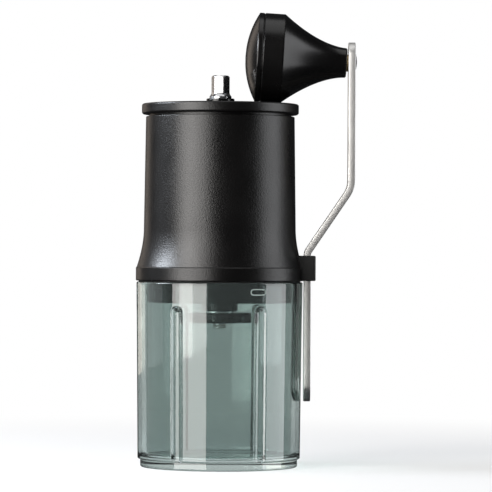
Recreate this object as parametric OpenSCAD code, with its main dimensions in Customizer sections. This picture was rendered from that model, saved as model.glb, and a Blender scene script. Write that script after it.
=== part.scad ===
// Hand crank coffee grinder: a clear fluted jar, a flared housing with a bean hopper, a lid,
// a drive shaft with ceramic conical burrs and an adjusting wheel, and a dogleg crank stowed
// in a clip beside the housing with its knob lying over the lid. Millimetres, Z up.
// Origin at the centre of the jar's underside. The stowed crank is towards +X.

/* [Jar] */
// height from the underside to the rim
jar_h = 80.2; // [74:0.2:90]
// outer diameter at the rim
jar_d = 72.2; // [70:0.1:78]
// how much the wall's radius shrinks from rim to foot
jar_draft = 0.8; // [0.2:0.1:1.4]
// wall thickness
jar_wall = 3.8; // [3.6:0.1:4.2]
// thickness of the floor
jar_floor = 4.6; // [4:0.1:8]
// height of the narrower foot
foot_h = 3.6; // [2.4:0.1:4.4]
// ledge between the foot and the wall
foot_step = 1.2; // [0.6:0.1:1.8]
// number of upright flutes
flute_n = 6; // [3:1:12]
// width of a flute
flute_w = 5.6; // [4:0.1:7]
// depth of a flute
flute_depth = 1.6; // [1:0.1:1.9]
// distance from the rim down to the top of a flute's arch
flute_drop = 10.2; // [9:0.2:24]

/* [Bayonet] */
// width of a lug inside the jar's mouth
lug_w = 6.4; // [5:0.1:9]
// height of a lug
lug_h = 3; // [2.4:0.1:3.4]
// turn that frees the jar, in degrees
unlock_turn = 25; // [20:1:35]
// how deep the skirt reaches into the jar
skirt_h = 8.9; // [8.2:0.1:10.4]

/* [Housing] */
// height of the housing above the jar
body_h = 71.3; // [66:0.1:84]
// outer diameter at the top edge
top_d = 64.6; // [63:0.2:67]
// outer diameter where the flare ends
waist_d = 66; // [64:0.2:68]
// height of the band round the bottom
band_h = 6; // [5:0.1:8]
// height of the flare above the band
flare_h = 16.4; // [12:0.1:20]
// wall thickness
shell_wall = 2.2; // [1.8:0.1:2.4]

/* [Lid] */
// outer diameter
lid_d = 68.2; // [66:0.2:72]
// thickness of the rim
lid_t = 4.6; // [3.6:0.1:6]
// height of the shadow gap under the rim
lid_gap = 0.9; // [0.5:0.1:1.5]
// outer diameter of the shaft's collar
collar_d = 12.2; // [11.6:0.1:14]
// height of the collar above the lid
collar_h = 2.4; // [1.5:0.1:3.5]

/* [Drive shaft] */
// hexagon across its flats
hex_af = 7; // [6.4:0.1:7.4]
// height of the hexagon's end above the lid
stub_h = 12.4; // [9:0.1:15]
// how far the hexagon is turned at rest, in degrees
hex_turn = 8; // [0:1:59]
// diameter of the turned shoulder under the hexagon
shoulder_d = 9.6; // [9:0.1:9.8]

/* [Burrs] */
// height of the outer burr
burr_h = 17.1; // [15.5:0.1:18.5]
// outer diameter of the outer burr
burr_d = 40; // [39.6:0.1:40.8]
// large crushing teeth on each burr
coarse_teeth = 9; // [6:1:12]
// fine milling teeth for each large one
fine_per_coarse = 4; // [3:1:5]
// radial gap between the burrs at the finest setting
burr_gap = 0.4; // [0.3:0.05:0.6]
// turn of the burr teeth over the burr's height, in degrees
tooth_turn = 34; // [10:1:50]
// coils of the spring
spring_coils = 3.5; // [2.5:0.5:4.5]

/* [Adjusting wheel] */
// outer diameter
wheel_d = 28; // [24:0.2:30]
// thickness
wheel_t = 4.4; // [4.2:0.1:6]
// grip lobes round the edge
wheel_lobes = 5; // [5:1:12]

/* [Crank] */
// width of the strip
strip_w = 14; // [13.6:0.2:16]
// thickness of the strip
strip_t = 3; // [2.6:0.1:3.4]
// sideways offset of the dogleg
dogleg = 18.9; // [16:0.1:21]
// height of the dogleg
dogleg_h = 28; // [22:0.1:32]
// length of the strip below the dogleg
arm_low = 64.7; // [56:0.1:70]
// height of the clip
clip_h = 10.9; // [9:0.1:13]
// width of the clip
clip_w = 19; // [18.4:0.2:22]

/* [Knob] */
// largest diameter
knob_d = 38.7; // [34:0.1:40]
// diameter of the small end
knob_neck_d = 12.8; // [12:0.2:15]
// length from the small end to the band
knob_flare = 27.8; // [24:0.2:29]
// width of the band
knob_band = 11.4; // [9:0.2:13]
// height of the domed cap
knob_dome = 4.9; // [4:0.1:7]
// lean of the knob's axle away from the lid, in degrees
knob_lean = 3.5; // [2:0.1:5]

/* [Hidden] */
$fa = 5;
$fs = 0.5;
// drawing aids
eps = 0.01;
beyond = 1;
far = 100;
full = 360;
half = 180;
quarter = 90;
sixth = 60;
// fits
run = 0.05;
seat = 0.02;
loose = 0.3;
// jar
jar_r = jar_d / 2;
wall_low_r = jar_r - jar_draft;
foot_r = wall_low_r - foot_step;
mouth_r = jar_r - jar_wall;
well_r = wall_low_r - jar_wall;
edge = 0.6;
well_round = 2.4;
draft_deg = atan(jar_draft / (jar_h - foot_h));
flute_r = (pow(flute_w / 2, 2) + pow(flute_depth, 2)) / (2 * flute_depth);
flute_len = jar_h - flute_drop - flute_w / 2 - foot_h;
// bayonet
lug_n = 3;
lug_first = -60;
lug_drop = 4;
lug_reach = 1.2;
lug_root = 1.4;
lug_z = jar_h - lug_drop;
slot_clear = 0.1;
skirt_clear = 0.7;
skirt_r = mouth_r - skirt_clear;
skirt_t = 2.8;
slot_r = mouth_r - lug_reach - loose;
slot_half = asin((lug_w / 2 + slot_clear) / (mouth_r - lug_reach)) + slot_clear;
z_skirt = jar_h - skirt_h;
// housing
lip_gap = 0.5;
groove_t = 0.7;
z_base = jar_h + lip_gap;
z_top = z_base + body_h;
band_proud = 0.3;
band_r = jar_r + band_proud;
band_step = 0.35;
socket_r = mouth_r + band_proud;
gasket_in = mouth_r + jar_wall * 0.24;
gasket_out = mouth_r + jar_wall * 0.76;
top_r = top_d / 2;
waist_r = waist_d / 2;
z_band = z_base + band_h;
z_waist = z_band + flare_h;
flare_bow = 1.8;
flare_steps = 10;
brim = 0.4;
ledge = 0.8;
flange_t = 3.3;
z_ledge = z_base + flange_t;
// burr stack
z_burr = z_skirt + 4.2;
z_burr_top = z_burr + burr_h;
holder_t = 2;
cup_r = burr_d / 2 + run;
cup_wall = 3.4;
lip_t = 2.4;
lip_in = 17.4;
z_cup = z_burr_top + lip_t;
web_t = 2.5;
screw_n = 3;
screw_first = 30;
screw_r = 1.5;
screw_head_r = 2.75;
screw_head_t = 1.5;
screw_len = 7;
screw_pcr = cup_r + cup_wall + 1.4;
boss_r = 3.2;
// burr teeth
mid_frac = 0.41;
z_mid = z_burr + burr_h * mid_frac;
burr_over = 2;
burr_under = 0.9;
outer_top_r = 16.6;
outer_mid_r = 13.75;
outer_low_r = 16.5;
inner_top_r = 8.2;
coarse_cut = 1.5;
fine_cut = 0.6;
fine_steps = 3;
ring_n = coarse_teeth * fine_per_coarse * fine_steps;
bore_r = 6;
// shaft
shaft_r = 4;
flat_w = 6.4;
thread_r = 3;
thread_cut = 0.35;
pitch = 1;
tip_out = 2.6;
// hub, wheel and nut
hub_r = 8;
hub_flange_r = 10;
hub_flange_t = 2;
hub_drop = 3.8;
click_t = 0.6;
z_inner = z_burr - burr_under;
z_inner_top = z_burr_top + burr_over;
z_hub = z_skirt - hub_drop;
z_wheel_top = z_hub - click_t - run;
z_wheel = z_wheel_top - wheel_t;
z_tip = z_wheel - tip_out;
spigot_h = 15;
nut_af = 10;
nut_t = 3.2;
lobe_r = 7;
lobe_bite = 3;
dimple_r = 0.6;
// spring and washers
washer_t = 0.8;
washer_r = 7.4;
spring_r = 5.7;
wire_r = 0.6;
wire_sides = 8;
coil_steps = 18;
// hopper
tower_r = 7.5;
tower_gap = 11.4;
tower_h = 23;
z_tower = z_burr_top + tower_gap;
z_tower_top = z_tower + tower_h;
bush_len = 7;
bush_flange_t = 1;
bush_flange_r = 7.2;
funnel_t = 2;
throat_h = 4;
funnel_h = 20;
rim_h = 3;
z_throat = z_cup + throat_h;
z_funnel = z_throat + funnel_h;
rib_t = 3;
rib_h = 10;
rib_first = 90;
clip_ring_t = 0.9;
clip_ring_r = 6;
clip_ring_bite = 0.6;
z_ring = z_tower_top + bush_flange_t + run;
spring_top = z_tower - bush_flange_t - run;
spring_low = z_inner_top + washer_t;
// lid
lid_r = lid_d / 2;
z_lid = z_top + lid_gap;
z_lid_top = z_lid + lid_t;
lid_edge = 1;
lid_neck_r = top_r - 1.4;
plug_h = 6;
plug_t = 2.2;
plug_clear = 0.1;
lid_plate = 3.2;
collar_r = collar_d / 2;
collar_barrel = 0.6;
collar_top = z_lid_top + collar_h;
shoulder_r = shoulder_d / 2;
shoulder_up = 1.95;
shoulder_low = 3;
z_hex = z_lid_top + stub_h;
hex_r = hex_af / 2 / cos(30);
hex_chamfer = 0.7;
// crank
arm_gap = 0.2;
arm_x = band_r + arm_gap;
arm_mid = arm_x + strip_t / 2;
top_mid = arm_mid + dogleg;
bend_r = 4.5;
bend_top_r = 12;
bend_steps = 6;
bend_up = 1.4;
clip_low = 0.2;
clip_wall = 2;
clip_back = 5;
clip_round = 1.2;
z_clip = z_base + clip_low;
z_clip_top = z_clip + clip_h;
z_bend = z_clip_top + bend_up;
z_bend_top = z_bend + dogleg_h;
z_arm = z_bend - arm_low;
socket_af = hex_af + 0.2;
// knob
knob_r = knob_d / 2;
neck_r = knob_neck_d / 2;
spot = 0.3;
spot_r = 4.6;
knob_washer_t = 1;
knob_washer_r = 3.7;
u_knob = knob_washer_t + run;
u_band = u_knob + knob_flare;
u_cap = u_band + knob_band;
u_end = u_cap + knob_dome;
flare_pow = 1.74;
knob_steps = 16;
dome_steps = 10;
cap_in = 0.6;
dome_r = (pow(knob_r - cap_in, 2) + pow(knob_dome, 2)) / (2 * knob_dome);
pocket_r = 15;
pocket_h = 6.8;
u_pocket = u_cap - pocket_h;
cap_plug = 3.4;
cap_wall = 2;
bead_u = u_cap - 2.5;
bead = 0.4;
axle_r = 3;
rivet_r = 2.5;
rivet_head_r = 4.15;
rivet_head_t = 1;
axle_end = 1.8;
keeper_t = 0.8;
keeper_r = 5.5;
keeper_bite = 0.4;
knob_seat = 0.55;
z_axle = z_lid_top + knob_seat + knob_r * cos(knob_lean) - u_band * sin(knob_lean);
arm_top_up = 9;
z_arm_top = z_axle + arm_top_up;
x_axle = top_mid - strip_t / 2 + spot;

// colours
clear_tint = [0.88, 0.9, 0.9, 0.4];
matte_black = [0.09, 0.09, 0.1];
gloss_black = [0.05, 0.05, 0.055];
steel = [0.74, 0.74, 0.76];
ceramic = [0.93, 0.91, 0.86];
brass = [0.72, 0.54, 0.3];
silicone = [0.16, 0.16, 0.17];

jar();
jar_gasket();
housing();
burr_mount();
hopper();
crank_clip();
upper_bush();
lower_bush();
outer_burr();
burr_holder();
holder_screws();
drive_shaft();
shaft_ring();
spring();
spring_washer();
inner_burr();
burr_hub();
click_plate();
adjusting_wheel();
adjuster_nut();
lid();
lid_bush();
crank_arm();
knob_axle();
knob_washer();
knob_keeper();
knob();
knob_cap();

// ---- shared shapes ----

// A body of revolution from radius and height pairs.
module turned(pts) {
  rotate_extrude() polygon(pts);
}

// A ring with square edges.
module ring(r_in, r_out, z_low, z_high) {
  turned([[r_in, z_low], [r_out, z_low], [r_out, z_high], [r_in, z_high]]);
}

// A sector of a ring between two angles.
module sector(r_in, r_out, z_low, z_high, a_low, a_high) {
  rotate([0, 0, a_low]) rotate_extrude(angle = a_high - a_low)
    polygon([[r_in, z_low], [r_out, z_low], [r_out, z_high], [r_in, z_high]]);
}

// Copies at equal angles round Z.
module around(n, first) {
  for (i = [0:n - 1]) rotate([0, 0, first + i * full / n]) children();
}

// A block with rounded upright edges, its centre at the origin in X and Y.
module soft_block(x, y, z, r) {
  translate([-x / 2 + r, -y / 2, 0]) cube([x - 2 * r, y, z]);
  translate([-x / 2, -y / 2 + r, 0]) cube([x, y - 2 * r, z]);
  for (sx = [-1, 1]) for (sy = [-1, 1])
    translate([sx * (x / 2 - r), sy * (y / 2 - r), 0]) cylinder(r = r, h = z);
}

// The frame of the knob's axle: local Z runs from the arm into the knob.
module on_axle() {
  translate([x_axle, 0, z_axle]) rotate([0, knob_lean - quarter, 0]) children();
}

// The shaft's section with its two flats, grown by a clearance.
module flatted(grow, z_low, z_high) {
  intersection() {
    translate([0, 0, z_low]) cylinder(r = shaft_r + grow, h = z_high - z_low);
    translate([-flat_w / 2 - grow, -shaft_r * 2, z_low])
      cube([flat_w + 2 * grow, shaft_r * 4, z_high - z_low]);
  }
}

// ---- jar ----

function wall_r(z) = wall_low_r + jar_draft * (z - foot_h) / (jar_h - foot_h);

module flute_cuts() {
  around(flute_n, 0) intersection() {
    translate([wall_low_r - flute_depth + flute_r, 0, foot_h]) rotate([0, draft_deg, 0])
      translate([0, 0, -beyond * 3]) cylinder(r = flute_r, h = flute_len + beyond * 3);
    translate([0, -flute_w * 2, foot_h]) cube([far, flute_w * 4, jar_h]);
  }
  around(flute_n, 0)
    translate([wall_low_r - flute_depth + flute_r, 0, foot_h]) rotate([0, draft_deg, 0])
      translate([0, 0, flute_len]) sphere(r = flute_r);
}

// A bayonet lug: a bar with round ends, standing in from the mouth's wall.
module lug() {
  reach = lug_reach + lug_root;
  bar = lug_w - lug_h;
  translate([mouth_r - lug_reach, 0, lug_z]) {
    translate([0, -bar / 2, -lug_h / 2]) cube([reach, bar, lug_h]);
    for (s = [-1, 1]) translate([0, s * bar / 2, 0]) rotate([0, quarter, 0])
      cylinder(r = lug_h / 2, h = reach);
  }
}

module jar() {
  color(clear_tint) union() {
    difference() {
      turned([[0, 0], [foot_r - edge, 0], [foot_r, edge], [foot_r, foot_h],
        [wall_low_r, foot_h], [jar_r, jar_h - edge], [jar_r - edge, jar_h],
        [mouth_r, jar_h], [well_r, jar_floor + well_round],
        [well_r - well_round, jar_floor], [0, jar_floor]]);
      flute_cuts();
    }
    around(lug_n, lug_first) lug();
  }
}

module jar_gasket() {
  color(silicone) ring(gasket_in, gasket_out, jar_h, z_base + groove_t);
}

// ---- housing ----

function flare_r(t) = waist_r + (band_r - band_step - waist_r) * pow(1 - t, flare_bow);
function shell_r(z) = waist_r + (top_r - waist_r) * (z - z_waist) / (z_top - z_waist);

function shell_outline(grow) = concat(
  [[band_r - edge + grow, z_base], [band_r + grow, z_base + edge],
   [band_r + grow, z_band - band_step]],
  [for (i = [0:flare_steps])
    [flare_r(i / flare_steps) + grow, z_band + flare_h * i / flare_steps]],
  [[top_r + grow, z_top - brim], [top_r - brim / 3 + grow, z_top - brim / 3],
   [top_r - brim + grow, z_top]]);

module housing() {
  color(matte_black) difference() {
    turned(concat(shell_outline(0),
      [[top_r - shell_wall, z_top], [waist_r - shell_wall, z_waist],
       [socket_r - ledge, z_ledge + beyond], [socket_r - ledge, z_ledge],
       [socket_r, z_ledge], [socket_r, z_base]]));
    ring(gasket_in, gasket_out, z_base - beyond, z_base + groove_t);
  }
}

// The part under the housing: skirt with bayonet slots, web, and the cup of the outer burr.
module burr_mount() {
  cup_out = cup_r + cup_wall;
  z_web = z_ledge - web_t;
  in_r = skirt_r - skirt_t;
  color(gloss_black) difference() {
    union() {
      turned([[in_r, z_skirt], [skirt_r - edge, z_skirt], [skirt_r, z_skirt + edge],
        [skirt_r, z_base], [socket_r, z_base], [socket_r, z_ledge], [cup_out, z_ledge],
        [cup_out, z_cup], [lip_in, z_cup], [lip_in, z_burr_top], [cup_r, z_burr_top],
        [cup_r, z_burr], [cup_out, z_burr], [cup_out, z_web], [in_r, z_web]]);
      around(screw_n, screw_first) translate([screw_pcr, 0, z_burr])
        cylinder(r = boss_r, h = z_ledge - z_burr - web_t / 2);
    }
    around(screw_n, screw_first) translate([screw_pcr, 0, z_burr - beyond])
      cylinder(r = screw_r + run, h = screw_len + beyond);
    around(screw_n, screw_first) translate([screw_pcr, 0, z_skirt - beyond])
      cylinder(r = boss_r + loose, h = z_burr - z_skirt + beyond);
    around(lug_n, lug_first) sector(slot_r, skirt_r + beyond, lug_z - lug_h / 2 - slot_clear,
      lug_z + lug_h / 2 + slot_clear, -unlock_turn - slot_half, slot_half);
    around(lug_n, lug_first - unlock_turn) sector(slot_r - slot_clear, skirt_r + beyond,
      z_skirt - beyond, lug_z + lug_h / 2, -slot_half + slot_clear, slot_half);
  }
}

// The bean funnel with the bearing tower on three ribs.
module hopper() {
  throat_out = lip_in + funnel_t;
  rim_r = shell_r(z_funnel + rim_h) - shell_wall - plug_clear;
  slope = (rim_r - throat_out) / funnel_h;
  mid = lip_in + funnel_t / 2;
  color(matte_black) union() {
    turned([[lip_in, z_cup], [throat_out, z_cup], [throat_out, z_throat],
      [rim_r, z_funnel], [rim_r, z_funnel + rim_h], [rim_r - funnel_t, z_funnel + rim_h],
      [rim_r - funnel_t, z_funnel], [lip_in, z_throat]]);
    ring(bore_r, tower_r, z_tower, z_tower_top);
    intersection() {
      turned([[tower_r - beyond, z_tower], [mid + slope * (z_tower - z_throat), z_tower],
        [mid + slope * (z_tower + rib_h - z_throat), z_tower + rib_h],
        [tower_r - beyond, z_tower + rib_h]]);
      around(screw_n, rib_first) translate([0, -rib_t / 2, z_tower])
        cube([far, rib_t, rib_h]);
    }
  }
}

module crank_clip() {
  depth = clip_back + strip_t + clip_wall;
  color(silicone) difference() {
    translate([arm_x - clip_back + depth / 2, 0, z_clip])
      soft_block(depth, clip_w, clip_h, clip_round);
    turned(concat([[0, z_base - beyond], [band_r - edge + seat, z_base - beyond]],
      shell_outline(seat), [[0, z_top]]));
    translate([arm_x - run, -strip_w / 2 - run, z_clip - beyond])
      cube([strip_t + 2 * run, strip_w + 2 * run, clip_h + 2 * beyond]);
  }
}

// ---- bearings ----

module upper_bush() {
  color(brass) turned([[shaft_r + run, z_tower_top - bush_len], [bore_r, z_tower_top - bush_len],
    [bore_r, z_tower_top], [bush_flange_r, z_tower_top],
    [bush_flange_r, z_tower_top + bush_flange_t], [shaft_r + run, z_tower_top + bush_flange_t]]);
}

module lower_bush() {
  color(brass) turned([[shaft_r + run, z_tower - bush_flange_t],
    [bush_flange_r, z_tower - bush_flange_t], [bush_flange_r, z_tower], [bore_r, z_tower],
    [bore_r, z_tower + bush_len], [shaft_r + run, z_tower + bush_len]]);
}

// ---- burrs ----

// How far along its tooth a point is: 0 at the crest, rising to 1 at the root, then back.
function saw(j, n) = (j * n / ring_n) - floor(j * n / ring_n + eps / 10);

// One ring of a toothed skin. way is -1 to cut inward from the crests and 1 to cut outward.
function tooth_row(r, z, coarse, fine, turn, way) = [for (j = [0:ring_n - 1])
  let (q = r + way * (coarse * saw(j, coarse_teeth) + fine * saw(j, coarse_teeth * fine_per_coarse)),
    a = j * full / ring_n + turn)
  [q * cos(a), q * sin(a), z]];

// A closed skin through rows of equal length, capped from a centre point at each end.
module skin(rows) {
  m = len(rows);
  n = len(rows[0]);
  pts = concat([for (row = rows) for (p = row) p],
    [[0, 0, rows[0][0][2]], [0, 0, rows[m - 1][0][2]]]);
  low = m * n;
  high = low + 1;
  sides = [for (i = [0:m - 2]) for (j = [0:n - 1]) let (k = (j + 1) % n)
    each [[i * n + j, (i + 1) * n + j, i * n + k], [i * n + k, (i + 1) * n + j, (i + 1) * n + k]]];
  caps = [for (j = [0:n - 1]) let (k = (j + 1) % n)
    each [[low, j, k], [high, (m - 1) * n + k, (m - 1) * n + j]]];
  polyhedron(points = pts, faces = concat(sides, caps));
}

// The turn of the teeth at a height.
function turn_at(z) = tooth_turn * (z - z_burr) / burr_h;

// The outer burr's crest radius at a height, straight from its waist to either end.
function outer_r(z) = z > z_mid
  ? outer_mid_r + (outer_top_r - outer_mid_r) * (z - z_mid) / (z_burr_top - z_mid)
  : outer_mid_r + (outer_low_r - outer_mid_r) * (z_mid - z) / (z_mid - z_burr);

// The inner burr's crest radius: a fixed gap below the waist, then a cone for the beans.
function inner_r(z) = z > z_mid
  ? outer_mid_r - burr_gap
    + (inner_top_r - outer_mid_r + burr_gap) * (z - z_mid) / (z_inner_top - z_mid)
  : outer_r(z) - burr_gap;

// How much of the large teeth there is at a height; the fine ones take the rest.
function coarse_at(z) = min(1, max(0, (z - z_mid) / (burr_h * mid_frac)));

module burr_skin(z_low, z_high, outer) {
  zs = [z_low, z_burr + burr_h * mid_frac / 2, z_mid, z_mid + burr_h * 0.14,
    z_mid + burr_h * 0.28, z_mid + burr_h * 0.43, z_high];
  skin([for (z = zs) let (c = coarse_at(z))
    outer ? tooth_row(outer_r(z), z, coarse_cut * c, fine_cut * (1 - c / 2), -turn_at(z), 1)
      : tooth_row(inner_r(z), z, coarse_cut * c, fine_cut * (1 - c), turn_at(z), -1)]);
}

module outer_burr() {
  color(ceramic) difference() {
    translate([0, 0, z_burr]) cylinder(r = burr_d / 2, h = burr_h);
    burr_skin(z_burr - edge, z_burr_top + edge, true);
  }
}

module inner_burr() {
  color(ceramic) difference() {
    burr_skin(z_inner, z_inner_top, false);
    translate([0, 0, z_inner - beyond]) cylinder(r = bore_r + seat, h = spigot_h + beyond);
    translate([0, 0, z_inner]) cylinder(r = shaft_r + loose, h = burr_h * 2);
  }
}

module burr_holder() {
  color(gloss_black) difference() {
    union() {
      ring(lip_in + loose, cup_r + cup_wall, z_burr - holder_t, z_burr);
      around(screw_n, screw_first) translate([screw_pcr, 0, z_burr - holder_t])
        cylinder(r = boss_r, h = holder_t);
    }
    translate([0, 0, z_burr - holder_t - beyond])
      cylinder(r = lip_in + loose, h = holder_t + 2 * beyond);
    around(screw_n, screw_first) translate([screw_pcr, 0, z_burr - holder_t - beyond])
      cylinder(r = screw_r + run, h = holder_t + 2 * beyond);
  }
}

module holder_screws() {
  z_head = z_burr - holder_t - screw_head_t;
  color(steel) around(screw_n, screw_first) translate([screw_pcr, 0, 0]) difference() {
    turned([[0, z_head], [screw_head_r - edge / 2, z_head], [screw_head_r, z_head + edge / 2],
      [screw_head_r, z_head + screw_head_t], [screw_r, z_head + screw_head_t],
      [screw_r, z_burr + screw_len - edge], [screw_r - edge, z_burr + screw_len - eps],
      [0, z_burr + screw_len - eps]]);
    for (a = [0, quarter]) rotate([0, 0, a])
      translate([-screw_r, -edge / 2, z_head - beyond]) cube([screw_r * 2, edge, edge + beyond]);
  }
}

// ---- shaft ----

function thread_teeth(z_low, z_high) = [for (z = [z_low:pitch:z_high - pitch])
  each [[thread_r, z], [thread_r - thread_cut, z + pitch / 2]]];

module drive_shaft() {
  z_thread = z_hub - edge / 2;
  z_round = z_inner_top + edge;
  z_cone = collar_top + shoulder_up;
  rise = shoulder_r - hex_af / 2 + edge / 2;
  color(steel) {
    turned(concat([[0, z_tip], [thread_r - edge, z_tip]],
      thread_teeth(z_tip + edge, z_thread),
      [[thread_r, z_thread], [thread_r, z_thread + edge], [0, z_thread + edge]]));
    flatted(0, z_thread, z_round);
    turned([[0, z_round - eps], [shaft_r, z_round - eps], [shaft_r, z_ring],
      [shaft_r - clip_ring_bite, z_ring], [shaft_r - clip_ring_bite, z_ring + clip_ring_t],
      [shaft_r, z_ring + clip_ring_t], [shaft_r, z_top + shoulder_low],
      [shoulder_r, z_top + shoulder_low], [shoulder_r, z_cone - rise / 2],
      [shoulder_r - rise, z_cone + rise / 2], [0, z_cone + rise / 2]]);
    intersection() {
      translate([0, 0, z_cone - rise]) rotate([0, 0, -hex_turn])
        cylinder(r = hex_r, h = z_hex - z_cone + rise, $fn = 6);
      turned([[0, z_cone - rise], [hex_r + seat, z_cone - rise], [hex_r + seat, z_hex - hex_chamfer],
        [hex_r - hex_chamfer, z_hex], [0, z_hex]]);
    }
  }
}

// Open retaining ring in the shaft's groove, above the upper bush.
module shaft_ring() {
  color(steel) difference() {
    ring(shaft_r - clip_ring_bite, clip_ring_r, z_ring, z_ring + clip_ring_t);
    translate([0, -shaft_r / 2, z_ring - beyond])
      cube([clip_ring_r * 2, shaft_r, clip_ring_t + 2 * beyond]);
  }
}

// ---- spring ----

// Points of one wire section, at a turn measured in coils.
function wire_ring(c) =
  let (h = spring_low + wire_r, span = spring_top - spring_low - 2 * wire_r,
    flat = 0.5, k = min(1, max(0, (c - flat) / (spring_coils - 2 * flat))))
  [for (s = [0:wire_sides - 1]) let (b = s * full / wire_sides, q = spring_r + wire_r * cos(b))
    [q * cos(full * c), q * sin(full * c), h + span * k + wire_r * sin(b)]];

module spring() {
  steps = round(spring_coils * coil_steps);
  rows = [for (i = [0:steps]) wire_ring(i * spring_coils / steps)];
  n = wire_sides;
  pts = [for (row = rows) for (p = row) p];
  sides = [for (i = [0:steps - 1]) for (j = [0:n - 1]) let (k = (j + 1) % n)
    each [[i * n + j, i * n + k, (i + 1) * n + j], [i * n + k, (i + 1) * n + k, (i + 1) * n + j]]];
  caps = [for (j = [1:n - 2]) each [[0, j + 1, j], [steps * n, steps * n + j, steps * n + j + 1]]];
  color(steel) polyhedron(points = pts, faces = concat(sides, caps));
}

module spring_washer() {
  color(steel) ring(shaft_r + loose, washer_r, z_inner_top, z_inner_top + washer_t);
}

// ---- hub, wheel and nut ----

module burr_hub() {
  color(matte_black) difference() {
    turned([[0, z_hub], [hub_r - edge, z_hub], [hub_r, z_hub + edge],
      [hub_r, z_inner - hub_flange_t], [hub_flange_r, z_inner - hub_flange_t],
      [hub_flange_r, z_inner], [bore_r, z_inner], [bore_r, z_inner + spigot_h - seat],
      [0, z_inner + spigot_h - seat]]);
    flatted(run, z_hub - beyond, z_inner + spigot_h + beyond);
  }
}

module click_plate() {
  dimple_at = (hub_r + shaft_r) / 2;
  color(steel) difference() {
    ring(shaft_r + loose, hub_r - edge, z_hub - click_t, z_hub);
    around(wheel_lobes, 0) translate([dimple_at, 0, z_hub - click_t - dimple_r / 2])
      sphere(r = dimple_r);
  }
}

module adjusting_wheel() {
  r = wheel_d / 2;
  color(gloss_black) difference() {
    turned([[thread_r + run, z_wheel], [r - edge, z_wheel], [r, z_wheel + edge],
      [r, z_wheel_top - edge], [r - edge, z_wheel_top], [thread_r + run, z_wheel_top]]);
    around(wheel_lobes, half / wheel_lobes)
      translate([r + lobe_r - lobe_bite, 0, z_wheel - beyond])
        cylinder(r = lobe_r, h = wheel_t + 2 * beyond);
    translate([0, 0, z_wheel - beyond])
      cylinder(r = nut_af / 2 / cos(30), h = nut_t + beyond, $fn = 6);
  }
}

module adjuster_nut() {
  color(brass) difference() {
    translate([0, 0, z_wheel])
      cylinder(r = (nut_af / 2 - seat) / cos(30), h = nut_t, $fn = 6);
    translate([0, 0, z_wheel - beyond]) cylinder(r = thread_r + run, h = nut_t + 2 * beyond);
  }
}

// ---- lid ----

module lid() {
  plug_r = top_r - shell_wall - plug_clear;
  hole = collar_r - collar_barrel;
  color(matte_black) turned([[hole, z_lid_top - lid_plate], [plug_r - plug_t, z_lid_top - lid_plate],
    [plug_r - plug_t, z_top - plug_h], [plug_r - edge, z_top - plug_h],
    [plug_r, z_top - plug_h + edge], [plug_r, z_top], [lid_neck_r, z_top],
    [lid_neck_r, z_lid], [lid_r - lid_edge, z_lid], [lid_r, z_lid + lid_edge],
    [lid_r, z_lid_top - lid_edge], [lid_r - lid_edge * 0.3, z_lid_top - lid_edge * 0.3],
    [lid_r - lid_edge, z_lid_top], [hole, z_lid_top]]);
}

// The collar that guides the lid round the shaft's shoulder.
module lid_bush() {
  hole = collar_r - collar_barrel;
  color(gloss_black) turned([[shoulder_r + run, z_lid_top - lid_plate - edge],
    [hole, z_lid_top - lid_plate - edge], [hole, z_lid_top], [collar_r, z_lid_top],
    [collar_r, collar_top - edge / 2], [collar_r - edge / 2, collar_top],
    [shoulder_r + run, collar_top]]);
}

// ---- crank ----

dog_deg = atan(dogleg / dogleg_h);

// Points along one bend. Both bends share a centre angle, so the strip keeps its thickness.
function bend(cx, cz, r, a0, a1) = [for (i = [0:bend_steps])
  let (a = a0 + (a1 - a0) * i / bend_steps) [cx + r * cos(a), cz + r * sin(a)]];

// One long edge of the strip's side view, offset from its centre line.
function strip_edge(off) =
  let (cut = bend_r * tan(dog_deg / 2), cut_top = bend_top_r * tan(dog_deg / 2))
  concat([[arm_mid + off, z_arm]],
    bend(arm_mid + bend_r, z_bend - cut, bend_r - off, half, half - dog_deg),
    bend(top_mid - bend_top_r, z_bend_top + cut_top, bend_top_r + off, -dog_deg, 0),
    [[top_mid + off, z_arm_top]]);

function backwards(list) = [for (i = [len(list) - 1:-1:0]) list[i]];

module crank_arm() {
  r = strip_w / 2;
  color(steel) difference() {
    intersection() {
      rotate([quarter, 0, 0]) linear_extrude(height = strip_w * 2, center = true)
        polygon(concat(strip_edge(-strip_t / 2), backwards(strip_edge(strip_t / 2))));
      union() {
        translate([0, -r, z_arm + r]) cube([far, strip_w, z_arm_top - z_arm - strip_w]);
        for (z = [z_arm + r, z_arm_top - r]) translate([0, 0, z]) rotate([0, quarter, 0])
          cylinder(r = r, h = far);
      }
    }
    translate([arm_x - beyond, 0, z_arm + r]) rotate([0, quarter, 0])
      cylinder(r = socket_af / 2 / cos(30), h = strip_t + 2 * beyond, $fn = 6);
    on_axle() cylinder(r = spot_r, h = strip_t);
    on_axle() translate([0, 0, -strip_t * 3 + spot * 2]) cylinder(r = spot_r, h = strip_t * 2);
    on_axle() translate([0, 0, -strip_t * 2]) cylinder(r = rivet_r, h = strip_t * 4);
  }
}

module knob_axle() {
  grip = strip_t - spot * 2;
  u_tip = u_pocket + keeper_t + axle_end;
  color(steel) on_axle() {
    turned([[0, -grip - rivet_head_t], [rivet_head_r - edge, -grip - rivet_head_t],
      [rivet_head_r, -grip - rivet_head_t + edge], [rivet_head_r, -grip], [rivet_r, -grip],
      [rivet_r, 0], [axle_r, 0], [axle_r, u_pocket + run], [axle_r - keeper_bite, u_pocket + run],
      [axle_r - keeper_bite, u_pocket + run + keeper_t], [axle_r, u_pocket + run + keeper_t],
      [axle_r, u_tip - edge], [axle_r - edge, u_tip], [0, u_tip]]);
  }
}

module knob_washer() {
  color(brass) on_axle() ring(axle_r + seat, knob_washer_r, 0, knob_washer_t);
}

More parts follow.
